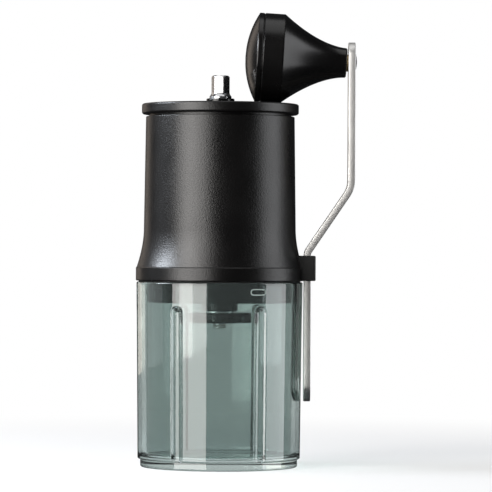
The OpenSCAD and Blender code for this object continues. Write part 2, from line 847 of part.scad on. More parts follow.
// Open retaining ring in the axle's groove, inside the knob's pocket.
module knob_keeper() {
  color(steel) on_axle() difference() {
    ring(axle_r - keeper_bite, keeper_r, u_pocket + run, u_pocket + run + keeper_t);
    translate([0, -axle_r / 2, u_pocket - beyond])
      cube([keeper_r * 2, axle_r, keeper_t + 2 * beyond]);
  }
}

function knob_side(t) = neck_r + (knob_r - neck_r) * pow(t, flare_pow);

module knob() {
  color(gloss_black) on_axle() turned(concat(
    [[axle_r + run, u_knob], [neck_r - edge, u_knob]],
    [for (i = [1:knob_steps]) let (t = i / knob_steps) [knob_side(t), u_knob + knob_flare * t]],
    [[knob_r, bead_u - bead], [knob_r - bead, bead_u], [knob_r, bead_u + bead],
     [knob_r, u_cap - bead], [knob_r - bead, u_cap], [pocket_r, u_cap], [pocket_r, u_pocket],
     [axle_r + run, u_pocket]]));
}

module knob_cap() {
  plug_r = pocket_r - seat;
  color(gloss_black) on_axle() turned(concat(
    [[plug_r - cap_wall, u_cap - cap_plug], [plug_r, u_cap - cap_plug], [plug_r, u_cap]],
    [for (i = [0:dome_steps - 1]) let (h = knob_dome * i / dome_steps)
      [sqrt(max(0, pow(dome_r, 2) - pow(dome_r - knob_dome + h, 2))), u_cap + h]],
    [[0, u_end], [0, u_cap + cap_wall], [plug_r - cap_wall, u_cap]]));
}
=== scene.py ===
"""Looks of the hand crank coffee grinder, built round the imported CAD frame.

Shapes are given in millimetres, and the camera, the lights and the materials in metres. Z is up, the stowed
crank is towards +X, and the camera looks along +Y.
"""

import math

import bmesh
import bpy
from mathutils import Matrix, Vector


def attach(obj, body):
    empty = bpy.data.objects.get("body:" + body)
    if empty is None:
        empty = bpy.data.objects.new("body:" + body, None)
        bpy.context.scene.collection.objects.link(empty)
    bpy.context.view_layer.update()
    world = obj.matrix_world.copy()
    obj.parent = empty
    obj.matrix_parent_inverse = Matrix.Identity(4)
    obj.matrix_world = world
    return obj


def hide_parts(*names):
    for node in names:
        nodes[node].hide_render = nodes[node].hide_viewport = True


MM = 0.001

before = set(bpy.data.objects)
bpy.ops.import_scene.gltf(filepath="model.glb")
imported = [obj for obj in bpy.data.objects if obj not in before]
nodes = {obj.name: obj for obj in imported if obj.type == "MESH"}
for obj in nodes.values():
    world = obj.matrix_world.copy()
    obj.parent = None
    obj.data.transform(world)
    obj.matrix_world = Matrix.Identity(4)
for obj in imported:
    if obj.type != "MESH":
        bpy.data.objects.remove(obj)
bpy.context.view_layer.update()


def new_object(name, data):
    ob = bpy.data.objects.new(name, data)
    bpy.context.scene.collection.objects.link(ob)
    return ob


# ---------------------------------------------------------------- camera

IMAGE = 492              # pixels along each side of the picture
PX_PER_MM = 2.3          # at the shaft's axis
SENSOR = 36.0            # millimetres
DISTANCE = 1.41
EYE_HEIGHT = 95.9 * MM
EYE_RIGHT = 11.42 * MM
ROLL = math.radians(0.30)
CLIP_NEAR, CLIP_FAR = 0.01, 20


def make_camera():
    cam = bpy.data.cameras.new("Camera")
    cam.sensor_width = SENSOR
    cam.sensor_height = SENSOR
    cam.sensor_fit = "HORIZONTAL"
    cam.lens = PX_PER_MM * DISTANCE / MM * SENSOR / IMAGE
    cam.clip_start = CLIP_NEAR
    cam.clip_end = CLIP_FAR
    ob = new_object("Camera", cam)
    ob.rotation_euler = (math.pi / 2, -ROLL, 0)
    ob.location = (EYE_RIGHT, -DISTANCE, EYE_HEIGHT)
    bpy.context.scene.camera = ob


make_camera()


# ---------------------------------------------------------------- node helpers

NOISE_LOW, NOISE_HIGH = 0.3, 0.7     # most of a noise texture lies between these
EDGE_HIGHLIGHT_FROM, EDGE_HIGHLIGHT_TO = 0.52, 0.62      # pointiness at which the painted edge highlight starts, and is full
# How many times lighter than the light tone the painted edge highlight gets.
EDGE_HIGHLIGHT_GAIN = 2.6

# Noise scales, in features a metre.
CLOUD, SMUDGE, METAL_GRAIN, SCUFF, WAVE, PAPER = 60, 45, 700, 35, 14, 3


def blank_mat(name):
    m = bpy.data.materials.new(name)
    m.use_nodes = True
    nt = m.node_tree
    nt.nodes.clear()
    return m, nt, nt.nodes.new("ShaderNodeOutputMaterial")


def new_mat(name):
    m, nt, out = blank_mat(name)
    bsdf = nt.nodes.new("ShaderNodeBsdfPrincipled")
    nt.links.new(bsdf.outputs["BSDF"], out.inputs["Surface"])
    return m, nt, bsdf, out


def tex_coord(nt, scale=(1, 1, 1)):
    tc = nt.nodes.new("ShaderNodeTexCoord")
    mp = nt.nodes.new("ShaderNodeMapping")
    mp.inputs["Scale"].default_value = scale
    nt.links.new(tc.outputs["Object"], mp.inputs["Vector"])
    return mp.outputs["Vector"]


def noise(nt, vec, scale, detail, rough=0.5):
    n = nt.nodes.new("ShaderNodeTexNoise")
    n.inputs["Scale"].default_value = scale
    n.inputs["Detail"].default_value = detail
    n.inputs["Roughness"].default_value = rough
    nt.links.new(vec, n.inputs["Vector"])
    return n.outputs["Fac"]


def ramp(nt, fac, low, high, start=NOISE_LOW, end=NOISE_HIGH):
    """A colour that goes from low to high as fac goes from start to end."""
    r = nt.nodes.new("ShaderNodeValToRGB")
    for stop, position, colour in zip(r.color_ramp.elements, (start, end), (low, high)):
        stop.position = position
        stop.color = colour + (1,)
    nt.links.new(fac, r.inputs["Fac"])
    return r.outputs["Color"]


def spread(nt, fac, low, high, start=NOISE_LOW, end=NOISE_HIGH):
    """A number that goes from low to high as fac goes from start to end."""
    m = nt.nodes.new("ShaderNodeMapRange")
    m.inputs["From Min"].default_value = start
    m.inputs["From Max"].default_value = end
    m.inputs["To Min"].default_value = low
    m.inputs["To Max"].default_value = high
    nt.links.new(fac, m.inputs["Value"])
    return m.outputs["Result"]


def bump(nt, bsdf, height, strength, distance):
    b = nt.nodes.new("ShaderNodeBump")
    b.inputs["Strength"].default_value = strength
    b.inputs["Distance"].default_value = distance
    nt.links.new(height, b.inputs["Height"])
    nt.links.new(b.outputs["Normal"], bsdf.inputs["Normal"])


def mix_shaders(nt, fac, first, second, out):
    mix = nt.nodes.new("ShaderNodeMixShader")
    nt.links.new(fac, mix.inputs[0])
    nt.links.new(first.outputs[0], mix.inputs[1])
    nt.links.new(second.outputs[0], mix.inputs[2])
    nt.links.new(mix.outputs[0], out.inputs["Surface"])


def paint_edge_highlight(nt, col, light, edge_highlight):
    """Mixes a painted highlight into a colour along convex edges, which the surface's own shape gives."""
    shape = nt.nodes.new("ShaderNodeNewGeometry")
    share = nt.nodes.new("ShaderNodeMath")
    share.operation = "MULTIPLY"
    share.inputs[1].default_value = edge_highlight
    nt.links.new(spread(nt, shape.outputs["Pointiness"], 0, 1, EDGE_HIGHLIGHT_FROM, EDGE_HIGHLIGHT_TO), share.inputs[0])
    mix = nt.nodes.new("ShaderNodeMix")
    mix.data_type = "RGBA"
    nt.links.new(share.outputs[0], mix.inputs[0])
    nt.links.new(col, mix.inputs[6])
    mix.inputs[7].default_value = tuple(min(1, c * EDGE_HIGHLIGHT_GAIN) for c in light) + (1,)
    return mix.outputs[2]


# ---------------------------------------------------------------- materials

def plastic(name, dark, light, rough, grain, depth, specular=0.5, edge_highlight=0.0, height=0.00005):
    """Moulded plastic: fine grain, faint cloudiness in colour and gloss, and a painted highlight on convex
    edges where asked.
    """
    m, nt, b, _ = new_mat(name)
    v = tex_coord(nt)
    cloud = noise(nt, v, CLOUD, 4)
    col = ramp(nt, cloud, dark, light)
    # Lighter along convex edges where asked: a painted highlight, not wear.
    if edge_highlight:
        col = paint_edge_highlight(nt, col, light, edge_highlight)
    nt.links.new(col, b.inputs["Base Color"])
    nt.links.new(spread(nt, cloud, *rough), b.inputs["Roughness"])
    b.inputs["Specular IOR Level"].default_value = specular
    bump(nt, b, noise(nt, v, grain, 2), depth, height)
    return m


def metal(name, low, high, rough, stretch, depth, aniso=0.0):
    """Metal with a grain drawn along one axis and faint smudges."""
    m, nt, b, _ = new_mat(name)
    b.inputs["Metallic"].default_value = 1.0
    grain = noise(nt, tex_coord(nt, stretch), METAL_GRAIN, 3, 0.6)
    smudge = noise(nt, tex_coord(nt), SMUDGE, 4)
    nt.links.new(ramp(nt, grain, low, high, 0.25, 0.75), b.inputs["Base Color"])
    add = nt.nodes.new("ShaderNodeMath")
    add.operation = "ADD"
    nt.links.new(spread(nt, grain, *rough), add.inputs[0])
    nt.links.new(spread(nt, smudge, -0.03, 0.05), add.inputs[1])
    nt.links.new(add.outputs[0], b.inputs["Roughness"])
    b.inputs["Anisotropic"].default_value = aniso
    bump(nt, b, grain, depth, 0.00003)
    return m


def clear_plastic(name):
    """Faintly smoky clear moulding with hairline scuffs. Shadow rays go straight on through it."""
    m, nt, b, out = new_mat(name)
    v = tex_coord(nt)
    b.inputs["Base Color"].default_value = (0.40, 0.47, 0.455, 1)
    b.inputs["Transmission Weight"].default_value = 1.0
    b.inputs["IOR"].default_value = 1.5
    b.inputs["Coat Weight"].default_value = 0.5
    b.inputs["Coat IOR"].default_value = 1.55
    b.inputs["Coat Roughness"].default_value = 0.02
    nt.links.new(spread(nt, noise(nt, v, SCUFF, 4), 0.0, 0.045), b.inputs["Roughness"])
    bump(nt, b, noise(nt, v, WAVE, 2), 0.25, 0.0004)
    path = nt.nodes.new("ShaderNodeLightPath")
    straight = nt.nodes.new("ShaderNodeBsdfTransparent")
    straight.inputs["Color"].default_value = (0.80, 0.83, 0.82, 1)
    mix_shaders(nt, path.outputs["Is Shadow Ray"], b, straight, out)
    return m


# The matte and knob plastics get a painted highlight along their convex edges.
MAT = {
    "matte": plastic("matte_black", (0.0022, 0.0020, 0.0020), (0.0036, 0.0033, 0.0033),
                     rough=(0.27, 0.33), grain=1650, depth=0.9, edge_highlight=0.25, height=0.0001),
    "trim": plastic("satin_black", (0.0022, 0.0022, 0.0022), (0.0036, 0.0036, 0.0036),
                    rough=(0.14, 0.2), grain=1500, depth=0.15),
    "knob": plastic("polished_black", (0.0018, 0.0017, 0.0017), (0.003, 0.0028, 0.0028),
                    rough=(0.22, 0.28), grain=1600, depth=0.15, edge_highlight=0.2),
    "rubber": plastic("black_silicone", (0.010, 0.010, 0.010), (0.016, 0.016, 0.0155),
                      rough=(0.55, 0.7), grain=1800, depth=0.5, specular=0.35),
    "clear": clear_plastic("clear_smoky"),
    # A pale opaque tone for the rings round the lugs: a painted highlight.
    "lug_highlight": plastic("painted_lug_highlight", (0.72, 0.74, 0.73), (0.84, 0.86, 0.85),
                     rough=(0.35, 0.5), grain=1500, depth=0.3),
    "strip": metal("brushed_strip", (0.70, 0.695, 0.68), (0.76, 0.755, 0.735),
                   rough=(0.37, 0.42), stretch=(3, 3, 0.5), depth=0.03, aniso=0.4),
    "steel": metal("turned_steel", (0.58, 0.58, 0.60), (0.80, 0.80, 0.80),
                   rough=(0.16, 0.30), stretch=(0.6, 0.6, 9), depth=0.12),
    "brass": metal("plain_brass", (0.52, 0.37, 0.19), (0.70, 0.53, 0.30),
                   rough=(0.22, 0.36), stretch=(1, 1, 6), depth=0.12),
    "ceramic": plastic("white_ceramic", (0.80, 0.78, 0.72), (0.87, 0.85, 0.80),
                       rough=(0.38, 0.55), grain=1200, depth=0.4, specular=0.45),
}

# The look of each CAD node.
LOOK = {
    "jar": "clear", "jar_gasket": "rubber", "housing": "matte", "burr_mount": "trim", "hopper": "matte",
    "crank_clip": "rubber", "upper_bush": "brass", "lower_bush": "brass", "outer_burr": "ceramic",
    "burr_holder": "trim", "holder_screws": "steel", "drive_shaft": "steel", "shaft_ring": "steel",
    "spring": "steel", "spring_washer": "steel", "inner_burr": "ceramic", "burr_hub": "trim",
    "click_plate": "steel", "adjusting_wheel": "trim", "adjuster_nut": "brass", "lid": "matte",
    "lid_bush": "trim", "crank_arm": "strip", "knob_axle": "steel", "knob_washer": "brass",
    "knob_keeper": "steel", "knob": "knob", "knob_cap": "knob"}

for name, ob in nodes.items():
    ob.data.materials.clear()
    ob.data.materials.append(MAT[LOOK[name]])


# ---------------------------------------------------------------- shapes

WELD = 0.0005 * MM       # rows and columns that fall on one another are joined, so every face has an area
AT_AXIS = 1e-6           # a row narrower than this is one point
SHARP = 35               # degrees between faces from which an edge stays sharp


def even(n):
    return [2 * math.pi * i / n for i in range(n)]


def wrapped(a, period):
    """An angle brought to within half a period of zero."""
    return (a + period / 2) % period - period / 2


def smooth_min(a, b, k):
    h = max(k - abs(a - b), 0) / k
    return min(a, b) - h * h * k / 4


def quarter(steps):
    """Along a quarter circle: how much of the one way is left, and how much of the other has been gone."""
    turns = [math.pi / 2 * k / steps for k in range(steps + 1)]
    return [(1 - math.sin(t), 1 - math.cos(t)) for t in turns]


def stepped(z, end, step):
    """Heights from z on, one step after another, that stop short of an end above or below."""
    while (end - z) * step > 0:
        yield z
        z += step


def rounded(line, closed=True, steps=4):
    """Round the corners of a line of (radius, height, fillet), with a short support beside each arc."""
    side_share, lead_share, longest_lead = 0.45, 0.2, 0.05
    out = []
    n = len(line)
    for i, p in enumerate(line):
        here = Vector(p[:2])
        if len(p) < 3 or (not closed and i in (0, n - 1)):
            out.append(tuple(here))
            continue
        a = Vector(line[i - 1][:2]) - here
        b = Vector(line[(i + 1) % n][:2]) - here
        half = a.angle(b) / 2
        cut = min(p[2] / math.tan(half), a.length * side_share, b.length * side_share)
        a.normalize()
        b.normalize()
        r = cut * math.tan(half)
        centre = here + (a + b).normalized() * r / math.sin(half)
        first = here + a * cut - centre
        final = here + b * cut - centre
        turn = math.atan2(first.cross(final), first.dot(final))
        lead = min(longest_lead, cut * lead_share)
        out.append(tuple(here + a * (cut + lead)))
        for k in range(steps + 1):
            t = turn * k / steps
            out.append((centre.x + first.x * math.cos(t) - first.y * math.sin(t),
                        centre.y + first.x * math.sin(t) + first.y * math.cos(t)))
        out.append(tuple(here + b * (cut + lead)))
    return out


def band(bm, low, high):
    """Faces between two closed rows of points, either of which may be a single point."""
    n = max(len(low), len(high))
    for i in range(n):
        j = (i + 1) % n
        if len(low) == 1:
            bm.faces.new((low[0], high[j], high[i]))
        elif len(high) == 1:
            bm.faces.new((low[i], low[j], high[0]))
        else:
            bm.faces.new((low[i], low[j], high[j], high[i]))


def loft(bm, angles, rows, closed):
    """A skin over rows of (radius, height) round Z, each one number or a list with one for every angle."""
    n = len(angles)
    grid = []
    for r, z in rows:
        rs = r if isinstance(r, list) else [r] * n
        zs = z if isinstance(z, list) else [z] * n
        if max(rs) < AT_AXIS:
            grid.append([bm.verts.new((0, 0, zs[0] * MM))])
        else:
            grid.append([bm.verts.new((q * math.cos(a) * MM, q * math.sin(a) * MM, h * MM))
                         for a, q, h in zip(angles, rs, zs)])
    for low, high in zip(grid, grid[1:]):
        band(bm, low, high)
    if closed:
        band(bm, grid[-1], grid[0])


def add_mesh(name, bm, material, sharp=0, place=None):
    me = bpy.data.meshes.new(name)
    bm.to_mesh(me)
    bm.free()
    if place is not None:
        me.transform(place)
    me.shade_smooth()
    if sharp:
        me.set_sharp_from_angle(angle=math.radians(sharp))
    me.materials.append(material)
    return new_object(name, me)


def piece(name, bm, body, node, look, sharp=SHARP, place=None):
    """Turns a mesh into a piece that rides on a body and, if it names a CAD node, stands in for it."""
    bmesh.ops.remove_doubles(bm, verts=bm.verts, dist=WELD)
    bmesh.ops.recalc_face_normals(bm, faces=bm.faces)
    ob = add_mesh(name, bm, MAT[look], sharp, place)
    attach(ob, body)
    if node:
        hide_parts(node)


def lathe(name, line, body, node, look, segments=192, closed=True, steps=4, place=None):
    bm = bmesh.new()
    loft(bm, even(segments), rounded(line, closed, steps), closed)
    piece(name, bm, body, node, look, place=place)


# ---------------------------------------------------------------- jar

JAR_H, JAR_R, FOOT_R, FOOT_H, LOW_R = 80.2, 36.1, 34.1, 3.6, 35.3
MOUTH_R, WELL_R, WELL_FOOT, FLOOR_H = 32.3, 31.5, 7, 4.6
FLUTES, FLUTE_R, FLUTE_AXIS, FLUTE_TOP = 6, 3.25, 1.65, 67.2
LUG_AT, LUG_Z, LUG_W, LUG_H, LUG_REACH = (-60, 60, 180), 76.2, 6.4, 3.0, 1.2
SEAL_TOP = 81.4


def wall_r(z):
    """The wall's outer radius between the flutes, which widens slightly upwards."""
    return LOW_R + (JAR_R - LOW_R) * (z - FOOT_H) / (JAR_H - FOOT_H)


def flute_depth(t, z):
    """How far a flute cuts in at a distance t beside its middle line, with its lips rounded."""
    lip = 0.5
    r = FLUTE_R
    if z > FLUTE_TOP:
        over = z - FLUTE_TOP
        if over >= r:
            return 0.0
        r = math.sqrt(r * r - over * over)
    t = abs(t)
    knee = 0.96 * r      # beyond it the arc is too steep, and a straight line goes on from it
    if t < knee:
        d = math.sqrt(r * r - t * t) - FLUTE_AXIS
    else:
        slope = knee / math.sqrt(r * r - knee * knee)
        d = math.sqrt(r * r - knee * knee) - FLUTE_AXIS - (t - knee) * slope
    return -smooth_min(-d, 0, lip)


def lug_proud(a, z):
    """How far the inner wall stands in at an angle and height for the three bayonet lugs."""
    flank = 0.7
    best = 0.0
    for at in LUG_AT:
        t = wrapped(a - math.radians(at), 2 * math.pi)
        bar = (LUG_W - LUG_H) / 2
        dx = max(abs(t * MOUTH_R) - bar, 0)
        d = LUG_H / 2 - math.hypot(dx, z - LUG_Z)
        if d > 0:
            best = max(best, LUG_REACH * math.sin(min(d / flank, 1) * math.pi / 2))
    return best


def make_jar():
    pitch = 360 // FLUTES
    angles = []
    for k in range(FLUTES):
        base = pitch * k
        angles += [base - 12 + 0.25 * i for i in range(78)]      # close together across the flute
        angles += [base + 7.5 + 1.5 * i for i in range(27)]      # and wide apart up to the next one
    angles = [math.radians(a) for a in angles]
    off = [wrapped(a, math.radians(pitch)) for a in angles]

    def outer(z):
        w = wall_r(z)
        return [w - flute_depth(w * math.sin(o), z) for o in off]

    def inner(z):
        w = WELL_R + (MOUTH_R - WELL_R) * (z - WELL_FOOT) / (JAR_H - WELL_FOOT)
        return [w - lug_proud(a, z) for a in angles]

    # The underside, a little hollow inside the ring that the jar stands on, and the foot.
    rows = [(0, 0.25), (20, 0.25), (27.5, 0.25), (28.0, 0.02), (28.4, 0)]
    rows += rounded([(28.4, 0), (FOOT_R, 0, 0.8), (FOOT_R, FOOT_H, 0.25), (FOOT_R + 1, FOOT_H)], False)[1:-1]

    # The step from the foot out to the wall. It fades where a flute comes down to it.
    fillet, gap = 0.55, 0.02
    full = outer(FOOT_H)
    share = [max(0.0, min(1.0, (q - FOOT_R) / 0.9)) for q in full]
    for left, gone in quarter(5):
        rows.append(([q - fillet * s * left - gap * (1 - s) for q, s in zip(full, share)],
                     [FOOT_H + 0.005 + fillet * s * gone for s in share]))

    # The outer wall, with rows close together where the flutes run out, and the rim.
    heights = [4.3, 5.2, 12, 24, 38, 52, 62, 64, *stepped(64.2, 71.2, 0.2), 72, 75, 79.0, 79.4]
    rows += [(outer(z), z) for z in heights]
    rows += [(JAR_R - 0.6 * gone, JAR_H - 0.6 * left) for left, gone in quarter(5)[1:]]
    rows += [(JAR_R - 0.7, JAR_H), (MOUTH_R + 0.5, JAR_H)]
    rows += [(MOUTH_R + 0.4 * left, JAR_H - 0.4 * gone) for left, gone in quarter(5)]

    # The inner wall, with rows close together over the lugs, and the floor.
    lug_rows = stepped(LUG_Z + LUG_H / 2 + 0.1, LUG_Z - LUG_H / 2 - 0.15, -0.1)
    rows += [(inner(z), z) for z in [78.6, *lug_rows, 73.5, 66, 50, 34, 20, 9, 7.4]]
    rows += [(WELL_R - 2.4 * gone, FLOOR_H + 2.4 * left) for left, gone in quarter(8)]
    rows += [(28.6, FLOOR_H), (14, FLOOR_H), (0, FLOOR_H)]

    bm = bmesh.new()
    loft(bm, angles, rows, False)
    piece("fluted_jar", bm, "jar", "jar", "clear", sharp=0)


def make_lug_highlight_rims():
    """Pale rings round the foot of each lug: a painted highlight outline."""
    bar, end, wire, sides = LUG_W / 2 - 1.0, LUG_H / 2 - 0.3, 0.18, 10
    proud = 0.14
    path = [(bar + end * math.cos(math.radians(a)), end * math.sin(math.radians(a)), a)
            for a in range(-90, 91, 12)]
    path += [(-x, -y, a + 180) for x, y, a in path]
    bm = bmesh.new()
    for at in LUG_AT:
        loops = []
        for t, h, a in path:
            loop = []
            for b in even(sides):
                side = wire * math.cos(b)
                turn = math.radians(at) + (t + side * math.cos(math.radians(a))) / MOUTH_R
                r = MOUTH_R + proud + wire * math.sin(b)
                z = LUG_Z + h + side * math.sin(math.radians(a))
                loop.append(bm.verts.new((r * math.cos(turn) * MM, r * math.sin(turn) * MM, z * MM)))
            loops.append(loop)
        for here, there in zip(loops, loops[1:] + loops[:1]):
            band(bm, here, there)
    piece("lug_highlight_rims", bm, "jar", None, "lug_highlight", sharp=0)


make_jar()
make_lug_highlight_rims()
lathe("sealing_ring", [(33.2, JAR_H, 0.2), (35.2, JAR_H, 0.2), (35.2, SEAL_TOP), (33.2, SEAL_TOP)],
      "gasket", "jar_gasket", "rubber")


# ---------------------------------------------------------------- housing and lid

HOUSING_TOP = 152.0
LID_TOP = 157.5
COLLAR_BORE = 5.5        # the lid's hole, which its collar sits in


def make_housing():
    foot, waist, top = 36.4, 33.0, 32.3
    z0, z_band, z_waist = 80.7, 86.7, 103.1
    step = 0.35          # how far the band stands out from the flare above it
    flare = [(waist + (foot - step - waist) * (1 - k / 24) ** 1.8, z_band + (z_waist - z_band) * k / 24)
             for k in range(25)]
    line = [(35.2, z0), (foot, z0, 0.5), (foot, z_band - step, 0.3), (flare[0][0] - 0.02, z_band, 0.12)]
    line += flare[1:]
    line += [(top, HOUSING_TOP, 0.4), (30.1, HOUSING_TOP, 0.3), (30.8, z_waist), (31.8, 85.0, 0.2),
             (31.8, 84.0), (32.6, 84.0), (32.6, z0), (33.2, z0), (33.2, SEAL_TOP), (35.2, SEAL_TOP)]
    lathe("flared_housing", line, "head", "housing", "matte", 224, steps=6)


def make_lid():
    r, plug, neck, plug_foot, under, plate = 34.1, 30.0, 30.9, 146.0, 152.9, 3.2
    hollow = 27.8
    lathe("lid_shell",
          [(COLLAR_BORE, LID_TOP - plate), (hollow, LID_TOP - plate, 0.4), (hollow, plug_foot, 0.4),
           (plug, plug_foot, 0.5), (plug, HOUSING_TOP), (neck, HOUSING_TOP), (neck, under),
           (r, under, 1.0), (r, LID_TOP, 0.85), (COLLAR_BORE, LID_TOP)],
          "lid", "lid", "matte", 224, steps=6)


make_housing()
make_lid()
lathe("lid_collar",
      [(4.85, 153.7), (COLLAR_BORE, 153.7), (COLLAR_BORE, LID_TOP), (6.1, LID_TOP), (6.1, 159.9, 0.4),
       (4.85, 159.9, 0.1)],
      "lid", "lid_bush", "trim", 128)


# ---------------------------------------------------------------- shaft, wheel and clip

def hexagon(a, flat, turn=0.0):
    """Radius of a hexagon, from its centre to a flat, at an angle."""
    t = wrapped(a - math.radians(turn), math.radians(60))
    return flat / math.cos(math.radians(30) - abs(t))


def make_shaft():
    """Helical thread, flatted middle, round journal with its ring groove, and the hexagon."""
    thread_r, shaft_r, groove_r, shoulder_r = 3.0, 4.0, 3.4, 4.8
    z_tip, z_thread, z_round, z_ring, z_hex = 59.85, 67.2, 95.2, 128.05, 169.9
    z_shoulder, z_flange, ring_w, hex_flat, hex_turn = 155.0, 160.7, 0.9, 3.5, -8
    pitch, thread_depth, flank, flat = 1.0, 0.38, 2.6, 3.2
    angles = [math.radians(hex_turn + 3 * i) for i in range(120)]
    rows = [(0, z_tip), (1.9, z_tip), (2.2, z_tip + 0.05)]
    for z in stepped(z_tip + 0.1, z_thread, 0.08):
        depth = min(1.0, (z - z_tip) / 0.5, (z_thread - z) / 0.4)
        row = []
        for a in angles:
            p = (z - a / (2 * math.pi) * pitch) % pitch
            cut = thread_depth * min(1.0, abs(p - pitch / 2) * flank)
            row.append(min(thread_r, 2.45 + 1.2 * (z - z_tip)) - cut * max(depth, 0.2))
        rows.append((row, z))
    flatted = [min(shaft_r, flat / max(abs(math.cos(a)), 1e-6)) for a in angles]
    rows += [(thread_r, z_thread), (thread_r, z_thread + 0.3), (flatted, z_thread + 0.32),
             (flatted, z_round - 0.02), (shaft_r, z_round), (shaft_r, z_ring), (groove_r, z_ring),
             (groove_r, z_ring + ring_w), (shaft_r, z_ring + ring_w), (shaft_r, z_shoulder),
             (shoulder_r, z_shoulder), (shoulder_r, z_flange)]
    body = [min(hexagon(a, hex_flat, hex_turn), 3.99) for a in angles]
    for k in range(7):
        t = k / 6
        rows.append(([b + (shoulder_r - b) * (1 - t) ** 2 for b in body], 160.8 + 1.9 * t))
    rows.append((body, z_hex - 0.72))
    for k in range(7):
        t = k / 6
        cone = 4.06 - 0.72 * t
        rows.append(([smooth_min(b, cone, 0.12) - 0.06 * t ** 4 for b in body], z_hex - 0.7 + 0.7 * t))
    rows += [(2.8, z_hex), (0, z_hex)]
    bm = bmesh.new()
    loft(bm, angles, rows, False)
    piece("threaded_shaft", bm, "shaft", "drive_shaft", "steel", sharp=28)


def make_wheel():
    """The adjusting wheel: a disc with five round bites between its lobes and a pocket for its nut."""
    r, z0, z1, e = 14.0, 62.45, 66.85, 0.7
    bore, pocket_flat, pocket_h = 3.05, 5.0, 3.2
    bite_at, bite_r, bite_share = 18.0, 7.0, 6.9
    lobe = 72

    def edge(a):
        t = wrapped(a - math.radians(lobe / 2), math.radians(lobe))
        side = bite_at * math.sin(t)
        if abs(side) < bite_share:
            bite = bite_at * math.cos(t) - math.sqrt(bite_r * bite_r - side * side)
        else:
            bite = 17.0 + (abs(side) - bite_share) * 4
        return smooth_min(r, bite, 1.1)

    angles = even(360)
    out = [edge(a) for a in angles]
    face = [q - e - 0.4 for q in out]
    pocket = [hexagon(a, pocket_flat) for a in angles]
    rows = [(bore, z0 + pocket_h), (pocket, z0 + pocket_h), (pocket, z0), (face, z0)]
    rows += [([q - e * left for q in out], z0 + e * gone) for left, gone in quarter(5)]
    rows += [(out, z0 + e + 0.2), (out, z1 - e - 0.2)]
    rows += [([q - e * gone for q in out], z1 - e * left) for left, gone in quarter(5)]
    rows += [(face, z1), ([q * 0.62 for q in out], z1), (bore, z1)]
    bm = bmesh.new()
    loft(bm, angles, rows, True)
    piece("grip_wheel", bm, "adjuster", "adjusting_wheel", "trim")


def reach(poly, a):
    """Distance from the origin to a closed outline along an angle."""
    dx, dy = math.cos(a), math.sin(a)
    hits = []
    for (x1, y1), (x2, y2) in zip(poly, poly[1:] + poly[:1]):
        ex, ey = x2 - x1, y2 - y1
        det = ex * dy - ey * dx
        if abs(det) < 1e-12:
            continue
        t = (ex * y1 - ey * x1) / det
        u = (dx * y1 - dy * x1) / det
        if t > 0 and -1e-7 <= u <= 1 + 1e-7:
            hits.append(t)
    return min(hits)


CLIP_X = 38.1            # the middle of the slot, and of the strip in it


def clip_outline(inset):
    """The clip seen from above, round the slot's middle: its inner side lies in the housing's wall."""
    wall = 33.7 - inset
    x1, y1, r = 41.6 - inset, 9.5 - inset, 1.3
    pts = []
    a0 = math.asin(y1 / wall)
    for k in range(13):
        a = a0 - 2 * a0 * k / 12
        pts.append((wall * math.cos(a) - CLIP_X, wall * math.sin(a)))
    for s in (-1, 1):
        cy = s * (y1 - r)
        for k in range(7):
            a = math.radians((-90 if s < 0 else 0) + 90 * k / 6)
            pts.append((x1 - r + r * math.cos(a) - CLIP_X, cy + r * math.sin(a)))
    return pts


def make_clip():
    z0, z1, e, funnel = 80.9, 91.8, 0.55, 0.25
    half_x, half_y = 1.55, 7.05
    slot = [(-half_x, -half_y), (half_x, -half_y), (half_x, half_y), (-half_x, half_y)]
    corners = {round(math.atan2(y, x), 6) for x, y in clip_outline(0) + slot}
    angles = sorted(corners | {round(math.radians(a), 6) for a in range(-180, 180, 6)})

    def ring(poly):
        return [reach(poly, a) for a in angles]

    hole = ring(slot)
    wide = ring([(x + math.copysign(funnel, x), y + math.copysign(funnel, y)) for x, y in slot])
    rows = [(wide, z0), (hole, z0 + funnel), (hole, z1 - funnel), (wide, z1)]
    rows += [(ring(clip_outline(e * left)), z1 - e * gone) for left, gone in quarter(4)]
    rows += [(ring(clip_outline(e * gone)), z0 + e * left) for left, gone in quarter(4)]
    bm = bmesh.new()
    loft(bm, angles, rows, True)
    piece("soft_clip", bm, "head", "crank_clip", "rubber", 40, Matrix.Translation((CLIP_X * MM, 0, 0)))


make_shaft()
make_wheel()
make_clip()


# ---------------------------------------------------------------- crank

